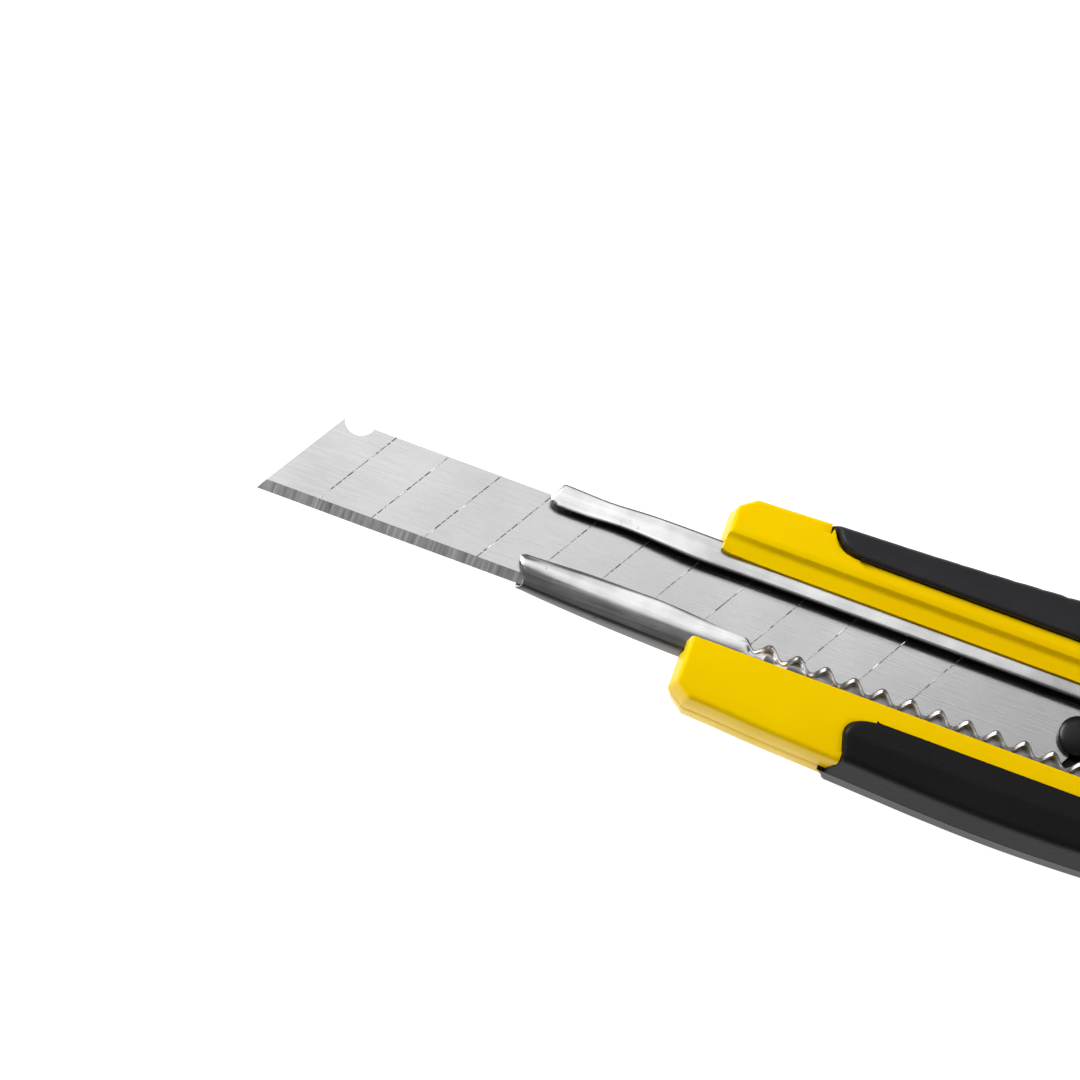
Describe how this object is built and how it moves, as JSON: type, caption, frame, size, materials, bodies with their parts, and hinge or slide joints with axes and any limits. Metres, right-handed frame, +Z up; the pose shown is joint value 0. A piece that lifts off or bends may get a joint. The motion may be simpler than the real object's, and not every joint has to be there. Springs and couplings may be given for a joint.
{
  "type": "snap-off utility knife",
  "caption": "Slim snap-off utility knife: ratchet blade channel in a two-shell handle with soft grips, sliding thumb button and pull-off rear cap.",
  "frame": {"origin": "centre of the bounding box in plan, on the surface the knife lies on", "axes": "+X from the blade tip to the rear cap, +Y from the cutting edge to the spine, +Z up out of the thumb button"},
  "size_m": [0.157, 0.0246, 0.011],
  "materials": {
    "yellow_body": "satin gloss moulded",
    "black_plastic": "satin moulded",
    "grip_rubber": "fine matt texture",
    "channel_steel": "bright rolled sheet",
    "blade_steel": "fine ground along its length",
    "hardware_steel": "plated"
  },
  "bodies": {
    "handle": {"front_shell": "yellow_body", "back_shell": "yellow_body", "grip_front_lower": "grip_rubber", "grip_front_upper": "grip_rubber", "grip_back_lower": "grip_rubber", "grip_back_upper": "grip_rubber", "screw_front_lower": "hardware_steel", "screw_front_upper": "hardware_steel", "screw_rear_lower": "hardware_steel", "screw_rear_upper": "hardware_steel", "blade_channel": "channel_steel", "channel_rivet": "hardware_steel"},
    "slider": {"blade": "blade_steel", "slider_carrier": "black_plastic", "ratchet_spring": "hardware_steel", "slider_rivet": "hardware_steel"},
    "thumb_button": {"thumb_slider": "black_plastic", "thumb_pad": "grip_rubber"},
    "cap": {"rear_cap": "black_plastic"}
  },
  "joints": [
    {"name": "blade_slide", "type": "slide", "parent": "handle", "child": "slider", "axis": [-1, 0, 0], "range_m": [-0.0269, 0.02421]},
    {"name": "button_press", "type": "slide", "parent": "slider", "child": "thumb_button", "axis": [0, 0, -1], "range_m": [0, 0.0006], "stiffness_N_per_m": 800},
    {"name": "cap_pull", "type": "slide", "parent": "handle", "child": "cap", "axis": [1, 0, 0], "range_m": [0, 0.012]}
  ]
}
